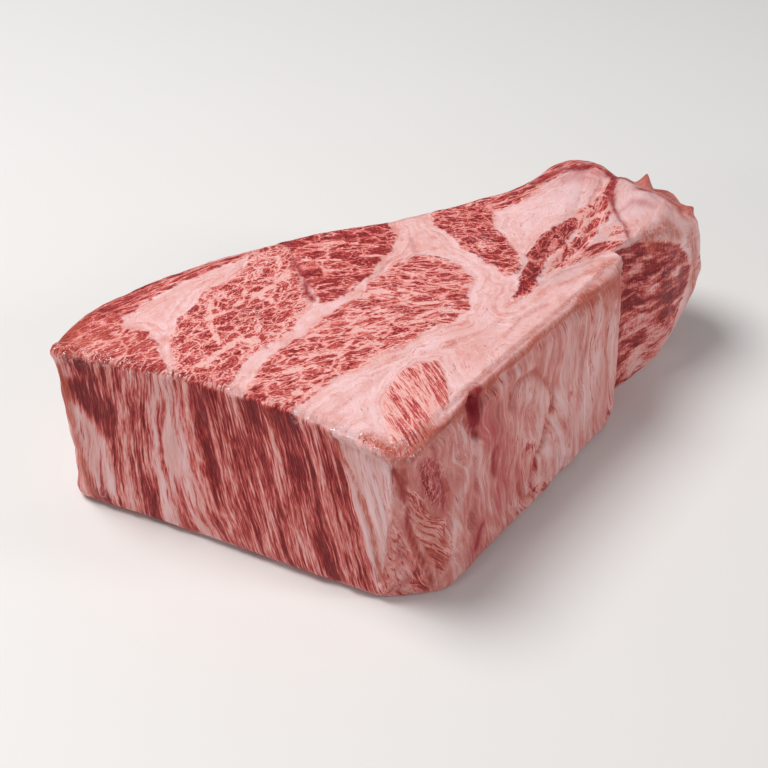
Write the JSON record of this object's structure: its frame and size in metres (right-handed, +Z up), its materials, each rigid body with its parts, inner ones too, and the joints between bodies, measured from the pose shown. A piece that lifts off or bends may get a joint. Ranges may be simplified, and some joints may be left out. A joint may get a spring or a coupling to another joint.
{
  "type": "raw beef steak",
  "caption": "Thick-cut raw marbled beef steak, a wedge that narrows from a wide straight cut end to a rounded end, with a fat cap down its side; lies flat on its cut face.",
  "frame": {"origin": "centre of the bounding box in plan, at the height of the surface that the steak lies on", "axes": "+X along the fat side, from the wide cut end to the narrow rounded end; +Y from the fat side to the outer skin side; +Z up, across the two cut faces"},
  "size_m": [0.1928, 0.1154, 0.0604],
  "materials": {
    "marbled_beef": "moist raw meat, deep red muscle finely marbled with pinkish white fat, with small wet highlights"
  },
  "bodies": {
    "root": {"beef_steak": "marbled_beef"}
  },
  "joints": []
}
